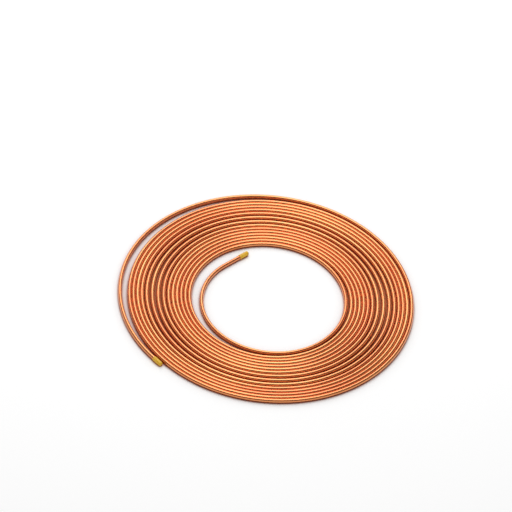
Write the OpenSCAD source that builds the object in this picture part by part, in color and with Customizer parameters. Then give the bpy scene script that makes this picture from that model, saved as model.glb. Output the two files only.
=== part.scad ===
// Flat coil of soft copper tube: one layer of turns around an open eye, a push-on cap on each end.
// The tube runs counter-clockwise from the eye outwards, seen from above, as a chain of round arcs.
// The winding is half turns that start and end on its X axis; its two ends are quarter turns.

/* [Tube] */
// Outside diameter of the tube
tube_od = 6.35; // [4:0.05:10]
// Wall thickness of the tube
tube_wall = 0.76; // [0.5:0.02:1.2]

/* [Winding] */
// Clear width of the eye inside the winding, before its innermost turn springs in
eye_d = 235; // [200:1:400]
// Whole turns from the innermost to the outermost one
whole_turns = 14; // [6:1:30]
// Gap between neighbouring turns where they lie closest
tight_gap = 0.15; // [0.1:0.05:3]
// Extra gap where the winding is loosest
loose_gap = 2.7; // [0:0.1:5]
// Turn at which the winding is loosest, counted from the eye
loose_turn = 8.3; // [2:0.1:12]
// Turns to either side over which the extra gap dies away
loose_span = 3.4; // [1:0.1:6]

/* [Outer end] */
// How far the outermost turn has sprung away from the turn inside it
spring_out = 1.8; // [0:0.1:20]
// How much wider the second quarter of the outermost turn opens
outer_flare = 4.6; // [0:0.1:15]
// How much its last quarter closes in again
outer_close = 5; // [0:0.1:7]
// Straight length at the outer end
outer_straight = 16; // [16:0.5:60]

/* [Inner end] */
// How far the innermost turn has sprung into the eye
spring_in = 2.4; // [0:0.1:8]
// How much tighter than the innermost turn the first quarter turn of the tail is
tail_pull = 6.7; // [1:0.1:12]
// How much tighter again the second quarter turn of the tail is
tail_curl = 5.9; // [2:0.1:20]
// Straight length at the inner end
tail_straight = 44.5; // [18:0.5:54]

/* [End caps] */
// Length of a cap from its mouth to its closed end
cap_len = 17; // [10:0.5:18]
// Wall thickness of a cap at its mouth
cap_wall = 0.55; // [0.4:0.05:1.5]
// Wall thickness of a cap near its closed end
cap_tip_wall = 0.3; // [0.2:0.05:0.4]
// Thickness of the closed end of a cap
cap_end = 1.5; // [1:0.1:3]
// Rounding of the edge of the closed end
cap_round = 1.6; // [0.2:0.1:1.8]
// Clearance between the tube and the bore of a cap, on the radius
cap_fit = 0.05; // [0.02:0.01:0.3]

/* [Hidden] */
$fn = 48;

copper = "#c8693a";
cap_yellow = "#e3c23a";

// Lengths along the route are whole hundredths, so that neighbouring arcs meet face to face.
function snap(length) = round(100 * length) / 100;

tube_bore = tube_od - 2 * tube_wall;
cap_bore_r = tube_od / 2 + cap_fit;
cap_r = cap_bore_r + cap_wall;
cap_tip_r = cap_bore_r + cap_tip_wall;
cap_grip = cap_len - cap_end;

// The caps are thicker than the tube, so they set the height of the tube's axis above the floor.
axis_z = cap_r;

// Share of the extra gap at a turn: all of it at the loosest turn, none beyond the span.
function looseness(turn) =
    let (away = abs(turn - loose_turn) / loose_span)
    away < 1 ? pow(cos(90 * away), 2) : 0;

function half_pitch(n) = snap((tube_od + tight_gap + loose_gap * looseness(n / 2)) / 2);

// Distances from the middle at which the tube's axis crosses the X axis, from the eye outwards:
// the even ones lie on the +X side, the odd ones on the -X side.
half_turns = 2 * whole_turns;
wound_crossings = [
    for (n = 0, r = snap((eye_d + tube_od) / 2); n <= half_turns; n = n + 1, r = r + half_pitch(n)) r
];
function crossing(n) = wound_crossings[n] - (n == 0 ? snap(spring_in) : 0);

function half_turn_r(n) = (crossing(n) + crossing(n + 1)) / 2;
function half_turn_x(n) = (n % 2 == 0 ? 1 : -1) * (crossing(n) - crossing(n + 1)) / 2;

// Outermost turn, outwards from the +X side: quarter turns by +Y and -X to -Y, then straight along +X.
spring_r = crossing(half_turns) + snap(half_pitch(half_turns) / 2 + spring_out);
spring_x = crossing(half_turns) - spring_r;
flare_r = spring_r + snap(outer_flare);
flare_y = spring_r - flare_r;
close_r = flare_r - snap(outer_close);
close_x = spring_x - flare_r + close_r;
outer_y = flare_y - close_r;

// Free inner end, from the +X side inwards: two quarter turns by -Y to -X, then straight along +Y.
pull_r = crossing(0) - snap(tail_pull);
pull_x = snap(tail_pull);
curl_r = pull_r - snap(tail_curl);
curl_y = curl_r - pull_r;
tail_x = pull_x - curl_r;

// Middle of the whole coil's outline, which is put over the origin.
middle_x = snap((crossing(half_turns) + spring_x - flare_r) / 2);
middle_y = snap((spring_r + tube_od / 2 + outer_y - cap_r) / 2);

module tube_section() {
    difference() {
        circle(d = tube_od);
        circle(d = tube_bore);
    }
}

module at_route(x, y) {
    translate([x - middle_x, y - middle_y, axis_z]) children();
}

module tube_arc(x, y, radius, from, sweep) {
    at_route(x, y) rotate_extrude(start = from, angle = sweep) translate([radius, 0]) tube_section();
}

module along_x() {
    rotate([0, 90, 0]) children();
}

module along_y() {
    rotate([-90, 0, 0]) children();
}

// A slightly tapered cup turned about Z, its mouth at the origin and its rounded closed end up.
module end_cap() {
    rounded_edge = [
        for (a = [0 : 15 : 90])
            [cap_tip_r - cap_round * (1 - cos(a)), cap_len - cap_round * (1 - sin(a))]
    ];
    rotate_extrude() polygon(concat(
        [[cap_bore_r, 0], [cap_r, 0]],
        rounded_edge,
        [[0, cap_len], [0, cap_grip], [cap_bore_r, cap_grip]]
    ));
}

module tube_coil() {
    color(copper) union() {
        for (n = [0 : half_turns - 1])
            tube_arc(half_turn_x(n), 0, half_turn_r(n), 180 * (n % 2), 180);
        tube_arc(spring_x, 0, spring_r, 0, 90);
        tube_arc(spring_x, flare_y, flare_r, 90, 90);
        tube_arc(close_x, flare_y, close_r, 180, 90);
        at_route(close_x, outer_y) along_x() linear_extrude(outer_straight) tube_section();
        tube_arc(pull_x, 0, pull_r, 270, 90);
        tube_arc(pull_x, curl_y, curl_r, 180, 90);
        at_route(tail_x, curl_y) along_y() linear_extrude(tail_straight) tube_section();
    }
}

module outer_end_cap() {
    color(cap_yellow) at_route(close_x + outer_straight - cap_grip, outer_y) along_x() end_cap();
}

module inner_end_cap() {
    color(cap_yellow) at_route(tail_x, curl_y + tail_straight - cap_grip) along_y() end_cap();
}

tube_coil();
outer_end_cap();
inner_end_cap();
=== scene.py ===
import math

import bpy
import numpy as np
from mathutils import Matrix, Vector, kdtree


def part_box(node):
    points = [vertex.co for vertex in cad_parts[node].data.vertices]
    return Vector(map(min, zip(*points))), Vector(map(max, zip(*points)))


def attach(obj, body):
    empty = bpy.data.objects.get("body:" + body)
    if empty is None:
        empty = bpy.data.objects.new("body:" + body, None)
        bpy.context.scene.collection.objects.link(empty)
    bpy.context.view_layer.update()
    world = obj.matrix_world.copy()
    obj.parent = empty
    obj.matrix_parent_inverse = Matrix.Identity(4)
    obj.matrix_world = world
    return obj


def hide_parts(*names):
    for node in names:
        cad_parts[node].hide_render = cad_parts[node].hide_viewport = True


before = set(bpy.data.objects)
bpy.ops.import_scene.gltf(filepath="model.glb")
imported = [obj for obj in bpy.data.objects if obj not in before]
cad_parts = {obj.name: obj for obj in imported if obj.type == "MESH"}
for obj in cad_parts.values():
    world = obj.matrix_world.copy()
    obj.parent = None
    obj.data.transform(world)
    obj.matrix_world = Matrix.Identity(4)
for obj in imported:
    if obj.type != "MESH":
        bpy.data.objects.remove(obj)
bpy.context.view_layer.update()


# Tube.
# One length of soft copper tube with a thin wall, drawn bright and then wound flat around an open eye.
# Each half turn opens out by half a pitch; the outermost turn and the inner tail have sprung free.
tube_d = 0.00635
tube_r = tube_d / 2
tube_wall = 0.00076
first_crossing = 0.12068
whole_turns = 14
tight_gap = 0.00015
loose_gap = 0.0027
loose_turn = 8.3
loose_span = 3.4
spring_in = 0.0024
spring_out = 0.0018
outer_flare = 0.0046
outer_close = 0.005
outer_straight = 0.016
tail_pull = 0.0067
tail_curl = 0.0059
tail_straight = 0.0445
tube_sides = 24
steps_per_half_turn = 60
weld_distance = 2e-5
smooth_angle = math.radians(40)


def half_pitch(n):
    away = abs(n / 2 - loose_turn) / loose_span
    share = math.cos(math.pi / 2 * away) ** 2 if away < 1 else 0
    return round((tube_d + tight_gap + loose_gap * share) / 2, 5)


half_turns = 2 * whole_turns
crossings = [first_crossing]
for n in range(1, half_turns + 1):
    crossings.append(crossings[-1] + half_pitch(n))
crossings[0] -= spring_in
spring_r = crossings[-1] + round(half_pitch(half_turns) / 2 + spring_out, 5)
flare_r = spring_r + outer_flare
close_r = flare_r - outer_close
pull_r = crossings[0] - tail_pull
curl_r = pull_r - tail_curl

coil_low, coil_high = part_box("tube_coil")
axis_z = (coil_low.z + coil_high.z) / 2
middle_x = crossings[-1] + tube_r - coil_high.x
middle_y = spring_r + tube_r - coil_high.y


def arc(x, y, radius, start, sweep):
    centre = Vector((x - middle_x, y - middle_y, axis_z))
    return {"centre": centre, "radius": radius, "start": math.radians(start), "sweep": math.radians(sweep)}


# The route, from the inner end outwards.
arcs = [
    arc(tail_pull, -tail_curl, curl_r, 180, 90),
    arc(tail_pull, 0, pull_r, 270, 90),
]
for n in range(half_turns):
    side = 1 if n % 2 == 0 else -1
    shift = side * (crossings[n] - crossings[n + 1]) / 2
    arcs.append(arc(shift, 0, (crossings[n] + crossings[n + 1]) / 2, 180 * (n % 2), 180))
spring_x = crossings[-1] - spring_r
arcs += [
    arc(spring_x, 0, spring_r, 0, 90),
    arc(spring_x, -outer_flare, flare_r, 90, 90),
    arc(spring_x - outer_close, -outer_flare, close_r, 180, 90),
]


def on_arc(a, angle):
    return a["centre"] + a["radius"] * Vector((math.cos(angle), math.sin(angle), 0))


bpy.ops.object.select_all(action="DESELECT")
bends = []
for a in arcs:
    bpy.ops.mesh.primitive_circle_add(
        vertices=tube_sides,
        radius=tube_r,
        location=on_arc(a, a["start"]),
        rotation=(math.pi / 2, 0, a["start"]),
    )
    bpy.ops.object.transform_apply(location=True, rotation=True, scale=True)
    bends.append(bpy.context.object)
    bpy.ops.object.mode_set(mode="EDIT")
    bpy.ops.mesh.select_all(action="SELECT")
    bpy.ops.mesh.spin(
        steps=round(steps_per_half_turn * a["sweep"] / math.pi),
        angle=a["sweep"],
        center=a["centre"],
        axis=(0, 0, -1),
    )
    bpy.ops.object.mode_set(mode="OBJECT")

for bend in bends:
    bend.select_set(True)
bpy.context.view_layer.objects.active = bends[0]
bpy.ops.object.join()
tube = bpy.context.object
tube.name = "copper_tube"
tube.data.name = "copper_tube"

inner_start = on_arc(arcs[0], arcs[0]["start"])
outer_start = on_arc(arcs[-1], arcs[-1]["start"] + arcs[-1]["sweep"])
bpy.ops.object.mode_set(mode="EDIT")
bpy.ops.mesh.select_all(action="SELECT")
bpy.ops.mesh.remove_doubles(threshold=weld_distance)
for end_centre, straight in (
    (inner_start, Vector((0, tail_straight, 0))),
    (outer_start, Vector((outer_straight, 0, 0))),
):
    bpy.ops.mesh.select_all(action="DESELECT")
    bpy.ops.object.mode_set(mode="OBJECT")
    for v in tube.data.vertices:
        ahead = (v.co - end_centre).dot(straight.normalized())
        v.select = abs(ahead) < weld_distance and (v.co - end_centre).length < tube_d
    bpy.ops.object.mode_set(mode="EDIT")
    bpy.ops.mesh.select_mode(type="VERT")
    bpy.ops.mesh.extrude_region_move(TRANSFORM_OT_translate={"value": straight})
bpy.ops.mesh.select_all(action="SELECT")
bpy.ops.mesh.normals_make_consistent(inside=False)
bpy.ops.object.mode_set(mode="OBJECT")
wall = tube.modifiers.new("wall", "SOLIDIFY")
wall.thickness = tube_wall
wall.offset = -1
bpy.ops.object.modifier_apply(modifier=wall.name)
bpy.ops.object.shade_smooth_by_angle(angle=smooth_angle)

# Each point's place on the tube as if it were pulled straight: across, up and along.
sample_step = 0.001
samples = []
along = 0


def sample(point, ahead):
    samples.append((point, ahead, along))


for k in range(round(tail_straight / sample_step)):
    sample(inner_start + Vector((0, tail_straight - k * sample_step, 0)), Vector((0, -1, 0)))
    along += sample_step
for a in arcs:
    count = round(a["radius"] * a["sweep"] / sample_step)
    for k in range(count):
        angle = a["start"] + a["sweep"] * k / count
        sample(on_arc(a, angle), Vector((-math.sin(angle), math.cos(angle), 0)))
        along += a["radius"] * a["sweep"] / count
for k in range(round(outer_straight / sample_step) + 1):
    sample(outer_start + Vector((k * sample_step, 0, 0)), Vector((1, 0, 0)))
    along += sample_step

tree = kdtree.KDTree(len(samples))
for i, (point, _, _) in enumerate(samples):
    tree.insert(point, i)
tree.balance()
straightened = np.zeros((len(tube.data.vertices), 3))
for v in tube.data.vertices:
    point, ahead, at = samples[tree.find((v.co.x, v.co.y, axis_z))[1]]
    off = v.co - point
    straightened[v.index] = (off.dot(Vector((ahead.y, -ahead.x, 0))), off.z, at + off.dot(ahead))
pulled = tube.data.attributes.new("pulled_straight", "FLOAT_VECTOR", "POINT")
pulled.data.foreach_set("vector", straightened.ravel())

copper = bpy.data.materials.new("bright_copper")
copper.use_nodes = True
nodes, links = copper.node_tree.nodes, copper.node_tree.links
shader = nodes["Principled BSDF"]
shader.inputs["Metallic"].default_value = 1
# A thin clear coat stands for the pale glint of bright drawn metal.
shader.inputs["Coat Weight"].default_value = 0.8
shader.inputs["Coat Roughness"].default_value = 0.15
place = nodes.new("ShaderNodeAttribute")
place.attribute_name = "pulled_straight"

# Slow change of tone along the tube, from reddish to golden copper.
tone_space = nodes.new("ShaderNodeMapping")
tone_space.inputs["Scale"].default_value = (30, 30, 3)
links.new(place.outputs["Vector"], tone_space.inputs["Vector"])
tone = nodes.new("ShaderNodeTexNoise")
tone.inputs["Scale"].default_value = 1
tone.inputs["Detail"].default_value = 3
links.new(tone_space.outputs["Vector"], tone.inputs["Vector"])
colours = nodes.new("ShaderNodeValToRGB")
colours.color_ramp.elements[0].position = 0.36
colours.color_ramp.elements[0].color = (0.75, 0.205, 0.06, 1)
colours.color_ramp.elements[1].position = 0.64
colours.color_ramp.elements[1].color = (0.80, 0.315, 0.10, 1)
links.new(tone.outputs["Fac"], colours.inputs["Fac"])
links.new(colours.outputs["Color"], shader.inputs["Base Color"])

# Fine lines that the drawing die left along the tube.
draw_space = nodes.new("ShaderNodeMapping")
draw_space.inputs["Scale"].default_value = (1500, 1500, 12)
links.new(place.outputs["Vector"], draw_space.inputs["Vector"])
draw_lines = nodes.new("ShaderNodeTexNoise")
draw_lines.inputs["Scale"].default_value = 1
draw_lines.inputs["Detail"].default_value = 3
links.new(draw_space.outputs["Vector"], draw_lines.inputs["Vector"])
gloss = nodes.new("ShaderNodeMapRange")
gloss.inputs["From Min"].default_value = 0.3
gloss.inputs["From Max"].default_value = 0.7
gloss.inputs["To Min"].default_value = 0.20
gloss.inputs["To Max"].default_value = 0.27
links.new(draw_lines.outputs["Fac"], gloss.inputs["Value"])
links.new(gloss.outputs["Result"], shader.inputs["Roughness"])
relief = nodes.new("ShaderNodeBump")
relief.inputs["Strength"].default_value = 0.3
relief.inputs["Distance"].default_value = 0.000003
links.new(draw_lines.outputs["Fac"], relief.inputs["Height"])
links.new(relief.outputs["Normal"], shader.inputs["Normal"])

tube.data.materials.append(copper)
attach(tube, "root")
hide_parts("tube_coil")


# End caps.
# Two soft yellow plastic caps, moulded as thin cups and pushed over the tube's ends to keep dirt out.
# They taper a little towards the closed end, so that they come out of the mould.
inner_low, inner_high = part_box("inner_end_cap")
outer_low, outer_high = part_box("outer_end_cap")
cap_r = (outer_high.y - outer_low.y) / 2
cap_len = inner_high.y - inner_low.y
cap_fit = 0.00005
cap_tip_wall = 0.0003
cap_end = 0.0015
cap_round = 0.0016
cap_round_segments = 5
lip_round = 0.00012
lip_round_segments = 2
cap_sides = 48
cap_bore_r = tube_r + cap_fit
cap_tip_r = cap_bore_r + cap_tip_wall

yellow = bpy.data.materials.new("yellow_cap_plastic")
yellow.use_nodes = True
nodes, links = yellow.node_tree.nodes, yellow.node_tree.links
shader = nodes["Principled BSDF"]
where = nodes.new("ShaderNodeTexCoord")
mottle = nodes.new("ShaderNodeTexNoise")
mottle.inputs["Scale"].default_value = 260
mottle.inputs["Detail"].default_value = 4
links.new(where.outputs["Object"], mottle.inputs["Vector"])
colours = nodes.new("ShaderNodeValToRGB")
colours.color_ramp.elements[0].position = 0.3
colours.color_ramp.elements[0].color = (0.98, 0.52, 0.02, 1)
colours.color_ramp.elements[1].position = 0.7
colours.color_ramp.elements[1].color = (1.0, 0.62, 0.04, 1)
links.new(mottle.outputs["Fac"], colours.inputs["Fac"])
links.new(colours.outputs["Color"], shader.inputs["Base Color"])
sheen = nodes.new("ShaderNodeMapRange")
sheen.inputs["From Min"].default_value = 0.3
sheen.inputs["From Max"].default_value = 0.7
sheen.inputs["To Min"].default_value = 0.34
sheen.inputs["To Max"].default_value = 0.46
links.new(mottle.outputs["Fac"], sheen.inputs["Value"])
links.new(sheen.outputs["Result"], shader.inputs["Roughness"])

bpy.ops.object.select_all(action="DESELECT")
bpy.ops.mesh.primitive_circle_add(vertices=cap_sides, radius=cap_bore_r, location=(0, 0, 0))
inner_cap = bpy.context.object


def select_mouth(least_r):
    bpy.ops.mesh.select_all(action="DESELECT")
    bpy.ops.object.mode_set(mode="OBJECT")
    for v in inner_cap.data.vertices:
        v.select = abs(v.co.z) < weld_distance and v.co.xy.length > least_r
    bpy.ops.object.mode_set(mode="EDIT")
    bpy.ops.mesh.select_mode(type="VERT")


# The bore goes up from the mouth to its closed end.
bpy.ops.object.mode_set(mode="EDIT")
bpy.ops.mesh.select_all(action="SELECT")
bpy.ops.mesh.extrude_region_move(TRANSFORM_OT_translate={"value": (0, 0, cap_len - cap_end)})
bpy.ops.mesh.edge_face_add()
# The lip goes out from the mouth, and the tapered outside up from the lip to the rounded end.
select_mouth(0)
bpy.ops.mesh.extrude_region_move()
bpy.ops.transform.resize(value=(cap_r / cap_bore_r, cap_r / cap_bore_r, 1), center_override=(0, 0, 0))
bpy.ops.mesh.extrude_region_move(TRANSFORM_OT_translate={"value": (0, 0, cap_len)})
bpy.ops.transform.resize(value=(cap_tip_r / cap_r, cap_tip_r / cap_r, 1), center_override=(0, 0, 0))
bpy.ops.mesh.edge_face_add()
bpy.ops.mesh.bevel(offset=cap_round, segments=cap_round_segments, affect="EDGES")
select_mouth((cap_bore_r + cap_r) / 2)
bpy.ops.mesh.bevel(offset=lip_round, segments=lip_round_segments, affect="EDGES")
bpy.ops.mesh.select_all(action="SELECT")
bpy.ops.mesh.normals_make_consistent(inside=False)
bpy.ops.object.mode_set(mode="OBJECT")
bpy.ops.object.shade_smooth_by_angle(angle=smooth_angle)
inner_cap.name = "inner_cap"
inner_cap.data.name = "inner_cap"
inner_cap.data.materials.append(yellow)

bpy.ops.object.duplicate()
outer_cap = bpy.context.object
outer_cap.name = "outer_cap"
outer_cap.data.name = "outer_cap"

inner_cap.rotation_euler = (-math.pi / 2, 0, 0)
inner_cap.location = ((inner_low.x + inner_high.x) / 2, inner_low.y, axis_z)
outer_cap.rotation_euler = (0, math.pi / 2, 0)
outer_cap.location = (outer_low.x, (outer_low.y + outer_high.y) / 2, axis_z)
for cap, node in ((inner_cap, "inner_end_cap"), (outer_cap, "outer_end_cap")):
    bpy.ops.object.select_all(action="DESELECT")
    cap.select_set(True)
    bpy.context.view_layer.objects.active = cap
    bpy.ops.object.transform_apply(location=True, rotation=True, scale=True)
    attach(cap, "root")
    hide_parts(node)


# Studio floor.
# A plain pale sheet of paper that the coil lies on, wide enough to fill every view.
# Close to and between the turns its colour goes dark copper-red, a painted shade and painted bounce light
# from the copper, and in the open it is lifted to white.
floor_size = 24
bpy.ops.object.select_all(action="DESELECT")
bpy.ops.mesh.primitive_plane_add(size=floor_size, location=(0, 0, 0))
floor = bpy.context.object
floor.name = "studio_floor"
paper = bpy.data.materials.new("studio_paper")
paper.use_nodes = True
nodes, links = paper.node_tree.nodes, paper.node_tree.links
shader = nodes["Principled BSDF"]
shader.inputs["Roughness"].default_value = 0.9
shader.inputs["Specular IOR Level"].default_value = 0.1
shader.inputs["Emission Color"].default_value = (1, 1, 1, 1)

# How open the paper is at each point, against the turns above it.
open_paper = nodes.new("ShaderNodeAmbientOcclusion")
open_paper.samples = 16
open_paper.inputs["Distance"].default_value = 0.02
# Painted shade: where the turns hide the paper, its colour goes dark copper-red, standing in for shade and
# for light bounced off the copper.
painted_copper_shade = nodes.new("ShaderNodeValToRGB")
painted_copper_shade.color_ramp.elements[0].position = 0.3
painted_copper_shade.color_ramp.elements[0].color = (0.60, 0.17, 0.06, 1)
painted_copper_shade.color_ramp.elements[1].position = 0.75
painted_copper_shade.color_ramp.elements[1].color = (0.93, 0.93, 0.93, 1)
links.new(open_paper.outputs["AO"], painted_copper_shade.inputs["Fac"])
links.new(painted_copper_shade.outputs["Color"], shader.inputs["Base Color"])

# The lift to white shows to the camera and in the metal, and throws no light on matt surfaces.
seen = nodes.new("ShaderNodeLightPath")
seen_or_mirrored = nodes.new("ShaderNodeMath")
seen_or_mirrored.operation = "ADD"
links.new(seen.outputs["Is Camera Ray"], seen_or_mirrored.inputs[0])
links.new(seen.outputs["Is Glossy Ray"], seen_or_mirrored.inputs[1])
seen_at_all = nodes.new("ShaderNodeMath")
seen_at_all.operation = "ADD"
seen_at_all.use_clamp = True
links.new(seen_or_mirrored.outputs["Value"], seen_at_all.inputs[0])
links.new(seen.outputs["Is Transmission Ray"], seen_at_all.inputs[1])
# Painted shade: the lift fades where the turns hide the paper, so the paper close to and between them is
# left darker.
clear_of_coil = nodes.new("ShaderNodeMapRange")
clear_of_coil.inputs["From Min"].default_value = 0.45
clear_of_coil.inputs["From Max"].default_value = 1
clear_of_coil.inputs["To Max"].default_value = 0.33
links.new(open_paper.outputs["AO"], clear_of_coil.inputs["Value"])
whitening = nodes.new("ShaderNodeMath")
whitening.operation = "MULTIPLY"
links.new(clear_of_coil.outputs["Result"], whitening.inputs[0])
links.new(seen_at_all.outputs["Value"], whitening.inputs[1])
links.new(whitening.outputs["Value"], shader.inputs["Emission Strength"])

floor.data.materials.append(paper)


# Camera.
# It looks down on the coil at the photograph's angle, from far off, with a long lens.
# The middle of the winding falls on the same point of the picture as in the photograph.
frame_px = 512
winding_px = (269.47, 299.91)
metres_per_px = 0.0015523
view_azimuth = math.radians(45)
view_elevation = math.radians(44.44)
view_roll = math.radians(6.40)
view_distance = 25
view_reach = 100
sensor_width = 36
winding_centre = Vector((-middle_x, -middle_y, axis_z))
back = Vector((
    math.sin(view_azimuth) * math.cos(view_elevation),
    -math.cos(view_azimuth) * math.cos(view_elevation),
    math.sin(view_elevation),
))
level_right = Vector((math.cos(view_azimuth), math.sin(view_azimuth), 0))
level_up = back.cross(level_right)
right = level_right * math.cos(view_roll) + level_up * math.sin(view_roll)
up = back.cross(right)
offset_right = (winding_px[0] - frame_px / 2) * metres_per_px
offset_down = (winding_px[1] - frame_px / 2) * metres_per_px
aim = winding_centre - right * offset_right + up * offset_down
bpy.ops.object.camera_add(location=aim + back * view_distance)
camera = bpy.context.object
camera.rotation_mode = "QUATERNION"
camera.rotation_quaternion = Matrix((right, up, back)).transposed().to_quaternion()
camera.data.sensor_width = sensor_width
camera.data.lens = sensor_width * view_distance / (frame_px * metres_per_px)
camera.data.clip_end = view_reach
bpy.context.scene.camera = camera


# Studio light.
# One soft box overhead, long towards the far side of the coil and a little to its left.
# Pale walls glow around the horizon and dim towards the ceiling, so that the metal has something to mirror.
world = bpy.data.worlds.new("surround")
bpy.context.scene.world = world
world.use_nodes = True
nodes, links = world.node_tree.nodes, world.node_tree.links
nodes["Background"].inputs["Color"].default_value = (1, 1, 1, 1)
way = nodes.new("ShaderNodeTexCoord")
height = nodes.new("ShaderNodeSeparateXYZ")
links.new(way.outputs["Generated"], height.inputs["Vector"])
walls = nodes.new("ShaderNodeMapRange")
walls.interpolation_type = "SMOOTHSTEP"
walls.inputs["From Min"].default_value = 0.05
walls.inputs["From Max"].default_value = 0.55
walls.inputs["To Min"].default_value = 0.8
walls.inputs["To Max"].default_value = 0.2
links.new(height.outputs["Z"], walls.inputs["Value"])
links.new(walls.outputs["Result"], nodes["Background"].inputs["Strength"])

box_width = 1.87
box_depth = 3.58
box_distance = 2.6
box_radiance = 2.5
box_to_far_side = 0.5
box_to_left = 0.12
overhead = Vector((0, 0, 1))
far = -Vector((back.x, back.y, 0)).normalized()
box_way = (overhead + far * box_to_far_side - level_right * box_to_left).normalized()
box_across = overhead.cross(box_way).normalized()
box_turn = Matrix((box_across, box_way.cross(box_across), box_way)).transposed()
bpy.ops.object.light_add(type="AREA", location=box_way * box_distance)
soft_box = bpy.context.object
soft_box.data.shape = "RECTANGLE"
soft_box.data.size = box_width
soft_box.data.size_y = box_depth
soft_box.data.energy = math.pi * box_width * box_depth * box_radiance
soft_box.rotation_mode = "QUATERNION"
soft_box.rotation_quaternion = box_turn.to_quaternion()

bpy.context.scene.view_settings.view_transform = "Standard"
